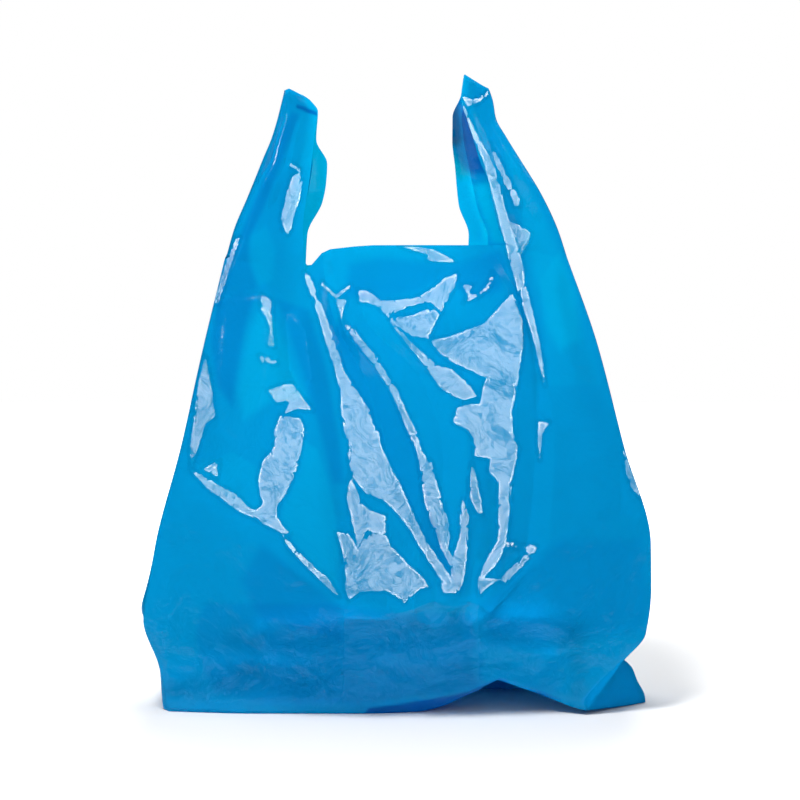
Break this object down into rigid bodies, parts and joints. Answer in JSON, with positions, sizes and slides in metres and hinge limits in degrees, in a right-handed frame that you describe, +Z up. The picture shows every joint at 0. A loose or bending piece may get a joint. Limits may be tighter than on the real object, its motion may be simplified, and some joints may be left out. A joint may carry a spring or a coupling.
{
  "type": "carrier bag",
  "caption": "Blue vest-type plastic carrier bag of thin glossy film, standing open on its folded base with both handle loops upright.",
  "frame": {"origin": "middle of the bag's box, on the surface that it stands on", "axes": "+Z up, front panel towards -Y, +X to the right hand of someone who faces the front"},
  "size_m": [0.3874, 0.1554, 0.4775],
  "materials": {
    "film": "thin glossy translucent blue polythene film, crumpled"
  },
  "bodies": {
    "root": {"carrier_bag": "film"}
  },
  "joints": []
}
